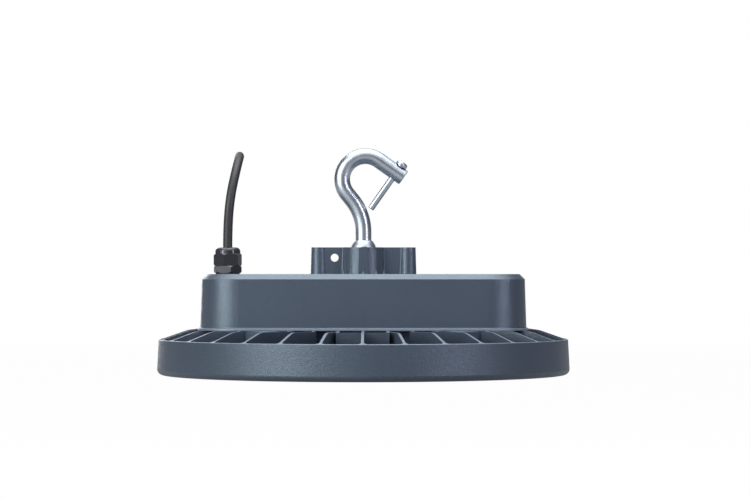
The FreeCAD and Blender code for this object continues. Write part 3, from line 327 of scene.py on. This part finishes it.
# %% [markdown]
# ## Metals and plastics inside
#
# The base plate, the driver's case and the LED board are never seen from the front, but they
# show in an exploded view, so they get plain honest finishes: rolled sheet, white solder mask,
# yellow phosphor, grey silicone and tinned copper. Rolling draws the grain of a sheet out into
# lines, which a noise does when it is squeezed along one axis.


# %% Inner finishes
ROLLING_GRAIN, ALONG_THE_ROLL = 260, (0.04, 1, 1)
SHEET_RELIEF = 0.03 * MM
DARKER = 14                                             # of 255, for the low places of a sheet
LENS_HAZE = 90


def sheet_metal(name, tone, roughness):
    sheet = Finish(name, Metallic=1.0)
    grain = sheet.noise(ROLLING_GRAIN, 3.0, ALONG_THE_ROLL)
    low = linear(*[part - DARKER for part in tone])
    sheet.set(
        Base_Color=sheet.between(low, linear(*tone), grain),
        Roughness=roughness + grain * 0.12,
        Normal=sheet.bump(grain, SHEET_RELIEF, 0.4))
    return sheet.material


def clear_plastic():
    lens = Finish("clear_polycarbonate", IOR=1.58, Transmission_Weight=0.92)
    haze = lens.noise(LENS_HAZE, 2.0)
    lens.set(
        Base_Color=lens.between(linear(232, 240, 243), linear(244, 248, 249), haze),
        Roughness=0.05 + haze * 0.05)
    return lens.material


print("grain of a rolled sheet, mm:", round(1 / (ROLLING_GRAIN * MM), 2))

# %% [markdown]
# ## A finish for each piece
#
# Every piece of the frame names a slot, such as zinc or gland_nylon, so one table gives each slot
# its finish and a loop hands them out. Two pieces differ from their slot: the driver box comes
# from a finer mould than the heat sink, so its coat is smoother and a little paler, and the
# conical nut under the hook has a duller plating than the rod.

# %% Finishes by slot
finishes = {
    # the heat sink's coat gets a painted highlight on the fin tops
    "cast_paint": powder_coat("powder_coat", 0.31, linear(50, 59, 71), linear(63, 72, 85), fin_top_highlight),
    "base_sheet": sheet_metal("rolled_sheet", (196, 198, 201), 0.32),
    "zinc": zinc("bright_zinc"),
    "zinc_screw": zinc("zinc_screw", 0.26),
    "gland_nylon": nylon,
    "seal_rubber": rubber,
    "cable_rubber": sheath,
    "core_sheath": moulded("core_brown", linear(96, 58, 34), linear(112, 70, 42), 0.42),
    "tin": zinc("tinned_copper", 0.3),
    "driver_case": sheet_metal("driver_case", (186, 189, 192), 0.38),
    "block_plastic": moulded("white_nylon", linear(212, 211, 205), linear(226, 225, 219), 0.4),
    "pad_silicone": moulded("grey_silicone", linear(120, 130, 140), linear(140, 148, 156), 0.6),
    "board_white": moulded("solder_mask", linear(226, 228, 226), linear(238, 240, 238), 0.3),
    "led_phosphor": moulded("phosphor", linear(232, 206, 92), linear(244, 222, 120), 0.35),
    "lens_clear": clear_plastic(),
}
slot_of = {part["node"]: part["material_slot"] for part in frame["record"]["subparts"]}
for name, thing in nodes.items():
    thing.data.materials.clear()
    thing.data.materials.append(finishes[slot_of[name]])
# the driver box's coat gets a painted highlight on the bead at its foot
nodes["driver_box"].data.materials[0] = powder_coat(
    "powder_coat_fine", 0.17, linear(56, 65, 77), linear(70, 79, 92), bead_highlight)
nodes["hook_nut"].data.materials[0] = zinc("matt_zinc", 0.34)
print("slots with a finish:", len(finishes), "pieces:", len(nodes))

# %% [markdown]
# ## The supply cable
#
# The cable leaves the gland upwards, arches over backwards and comes down behind the light,
# where its bared end lies on the floor. It could be swept from arcs and straight runs, but those
# look like bent wire. Here it is a smooth curve along a few chosen points, with a round bevel,
# because a rubber cable bends in long easy arcs and never kinks.

# %% Supply cable
CABLE_ROUTE = [                                         # millimetres
    (-102.3, 0.0, 95.4), (-102.3, 0.0, 113.0), (-100.2, 0.5, 135.0), (-96.5, 11.5, 154.8),
    (-94.8, 30.5, 166.0), (-96.4, 54.0, 166.0), (-100.6, 74.0, 154.5), (-106.8, 90.0, 127.5),
    (-108.8, 103.5, 97.0), (-108.0, 115.5, 65.0), (-106.0, 128.5, 37.0), (-101.0, 148.0, 14.0),
    (-91.0, 176.0, 3.5), (-73.0, 203.0, 3.5), (-47.0, 220.0, 3.5), (-18.0, 228.0, 3.5),
    (12.0, 230.0, 3.5), (40.0, 226.0, 3.5),
]
CABLE_RADIUS = 3.5 * MM

line = bpy.data.curves.new("supply_cable_line", "CURVE")
line.dimensions = "3D"
spline = line.splines.new("NURBS")
spline.points.add(len(CABLE_ROUTE) - 1)
for point, place in zip(spline.points, CABLE_ROUTE):
    point.co = (*(part * MM for part in place), 1.0)
spline.order_u = 3
spline.use_endpoint_u = True
line.bevel_depth = CABLE_RADIUS
line.bevel_resolution = 6
line.resolution_u = 10
line.use_fill_caps = True
line.materials.append(sheath)
cable = bpy.data.objects.new("cable_sheath", line)
bpy.context.scene.collection.objects.link(cable)
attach(cable, "root")
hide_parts("supply_cable")
print("cable points:", len(CABLE_ROUTE))

# %% [markdown]
# ## White that doesn't flood the light
#
# A product on white stands in a room of white, but so much white would light dark paint from
# all sides and wash its shape out. So the floor and the world show as white to the eye, straight
# or through glass, while they light the object only as much as a dim room would. A Light Path
# node tells which kind of ray arrives, and `Glow` mixes white and a plain shader by it. It grows
# all white with the distance from the light, so that floor and world meet without a line.


# %% Rays
NEAR, FAR = 0.4, 1.2                                    # metres, over which the white grows


class Glow(Finish):
    """A graph that ends in white for some rays and in a plain shader for the others.

    share is how white the eye finds it near the light, and mirrored how white a gloss does.
    """

    def __init__(self, tree, plain, goal, share, mirrored=0.0):
        self.tree = tree
        far = self.add("ShaderNodeVectorMath", {"operation": "LENGTH"}, {0: self.place()}, 1)
        share = share + self.band(far, NEAR, FAR) * (1 - share)
        eye = self.add("ShaderNodeLightPath", output="Is Camera Ray")
        glass = self.add("ShaderNodeLightPath", output="Is Transmission Ray")
        self.gloss = self.add("ShaderNodeLightPath", output="Is Glossy Ray")
        amount = eye.math("MAXIMUM", eye, glass) * share + self.gloss * mirrored
        white = self.add("ShaderNodeEmission")
        mixed = self.add("ShaderNodeMixShader", {}, {0: amount, 1: Flow(self, plain), 2: white})
        self.feed(goal, mixed)


print("all white from", FAR, "m on")

# %% [markdown]
# ## Floor
#
# The floor is one large square. Nearly all of what the eye sees of it is white, and the small
# rest is a matt grey that takes the lamps' light and the light's own soft shadow. A gloss that
# looks down finds a grey floor and not a white one, which keeps the underside of the hook and
# of the ring dark.

# %% Floor
FLOOR_SIZE = 8.0                                        # metres from the middle to an edge
FLOOR_GREY = (0.16, 0.16, 0.17, 1)
FLOOR_WHITE, FLOOR_MIRRORED = 0.98, 0.35

form = bmesh.new()
bmesh.ops.create_grid(form, x_segments=1, y_segments=1, size=FLOOR_SIZE)
floor_mesh = bpy.data.meshes.new("floor")
form.to_mesh(floor_mesh)
form.free()
floor = bpy.data.objects.new("floor", floor_mesh)
bpy.context.scene.collection.objects.link(floor)
pale = bpy.data.materials.new("pale_floor")
pale.use_nodes = True
matt = pale.node_tree.nodes["Principled BSDF"]
matt.inputs["Base Color"].default_value = FLOOR_GREY
matt.inputs["Roughness"].default_value = 0.9
Glow(pale.node_tree, matt.outputs[0],
     pale.node_tree.nodes["Material Output"].inputs["Surface"], FLOOR_WHITE, FLOOR_MIRRORED)
floor_mesh.materials.append(pale)
print("floor's white near the light:", FLOOR_WHITE)

# %% [markdown]
# ## World
#
# The world is what lies beyond the floor. The eye finds it all white. The paint and the metal
# find a dim blue grey room in it, with one paler wall straight behind the light, so that faces
# that the eye only grazes take up a little of the white that stands behind them.

# %% World
ROOM = (0.10, 0.11, 0.13, 1)
WALL_DARK, WALL_PALE = (0.09, 0.10, 0.12, 1), (0.55, 0.58, 0.63, 1)
WALL_EDGE, WALL_MIDDLE = 0.86, 1.0                      # how much a direction points away

world = bpy.data.worlds.new("studio")
bpy.context.scene.world = world
world.use_nodes = True
room = world.node_tree.nodes["Background"]
room.inputs["Strength"].default_value = 1.0
sky = Glow(world.node_tree, room.outputs[0],
           world.node_tree.nodes["World Output"].inputs["Surface"], 1.0)
wall = sky.band(sky.axis(AWAY, output="Generated"), WALL_EDGE, WALL_MIDDLE)
mirrored = sky.between(WALL_DARK, WALL_PALE, wall)
sky.feed(room.inputs["Color"], sky.between(ROOM, mirrored, sky.gloss))
print("half width of the pale wall, degrees:", round(math.degrees(math.acos(WALL_EDGE))))

# %% [markdown]
# ## Lamps
#
# Large soft boxes draw the shape of a glossy dark thing: each shows as a pale band with a soft
# edge, and the gaps between them stay dark. A broad box stands at the left with a narrow bright
# core inside it, so that a round face goes from dark over pale to bright and back. A narrow box
# at the right draws the thin line on the other flank, and the boxes overhead light all that
# faces up. The two behind part the hook and the gland from the white. A box's power follows from
# its size, so that its brightness is what is chosen. The Standard view leaves white as white.


# %% Lamps
AIM = Vector((0, 0, 60 * MM))


def softbox(name, azimuth, height, distance, size, radiance, tint=(1, 1, 1)):
    """A soft lamp at a bearing from the front, in degrees to the right, that faces the object."""
    turn = math.radians(azimuth)
    spot = Vector((distance * math.sin(turn), -distance * math.cos(turn), height))
    data = bpy.data.lights.new(name, "AREA")
    data.shape = "RECTANGLE"
    data.size, data.size_y = size
    data.energy = radiance * size[0] * size[1] * math.pi
    data.color = tint
    lamp = bpy.data.objects.new(name, data)
    lamp.location = spot
    lamp.rotation_euler = (AIM - spot).to_track_quat("-Z", "Y").to_euler()
    bpy.context.scene.collection.objects.link(lamp)
    print(name, "power, W:", round(data.energy, 1))


softbox("key_left", -48, 0.5, 1.5, (1.35, 1.3), 2.1)
softbox("key_core", -46, 0.48, 1.44, (0.36, 0.95), 8.6)
softbox("key_soft_edge", -17, 0.5, 1.5, (0.42, 1.3), 0.9)
softbox("fill_right", 52, 0.45, 1.5, (0.22, 1.2), 10.5, (0.92, 0.86, 1.0))
softbox("overhead", 0, 1.6, 0.0, (2.0, 1.7), 3.3)
softbox("overhead_core", 0, 1.55, 0.0, (0.45, 0.9), 2.4)
softbox("overhead_front", 0, 1.45, 1.25, (1.8, 1.0), 1.2)
softbox("back_high", 180, 1.45, 1.25, (1.8, 1.0), 0.55)
softbox("back_left", -160, 0.5, 1.7, (0.4, 1.2), 3.0)
bpy.context.scene.view_settings.view_transform = "Standard"
